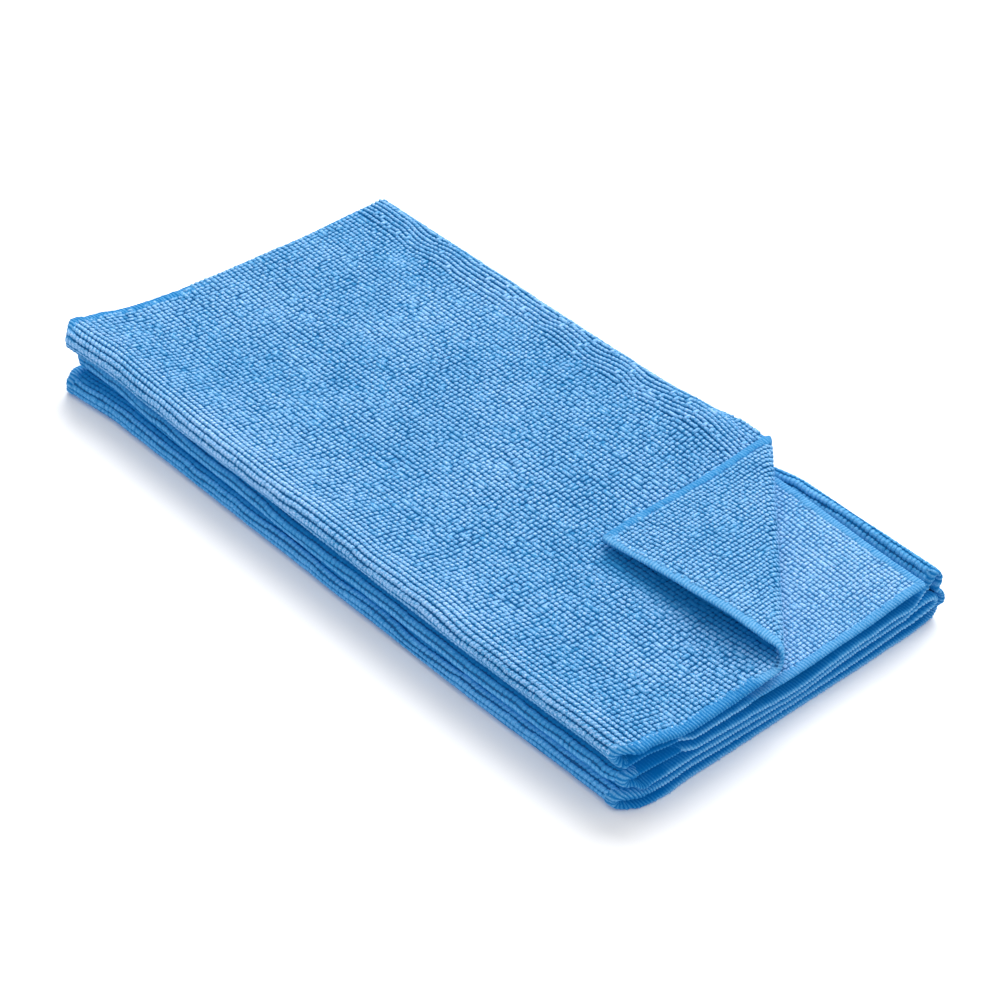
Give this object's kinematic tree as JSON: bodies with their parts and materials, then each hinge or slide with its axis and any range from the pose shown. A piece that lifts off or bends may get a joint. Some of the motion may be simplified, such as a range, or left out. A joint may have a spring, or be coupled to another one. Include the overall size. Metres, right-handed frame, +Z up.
{
  "type": "microfibre cloth",
  "caption": "Long microfibre cloth folded back and forth into a flat bundle, with a corner of the top layer turned back over it.",
  "frame": {"origin": "middle of the bundle's outline, on the surface it lies on", "axes": "+Z up; Y along the long folded side, which is at -X; the turned-back corner is at +X -Y"},
  "size_m": [0.1672, 0.33, 0.0312],
  "materials": {
    "blue_microfibre": "knitted loop pile, matt, with an overlocked edge"
  },
  "bodies": {
    "root": {"microfibre_cloth": "blue_microfibre"}
  },
  "joints": []
}
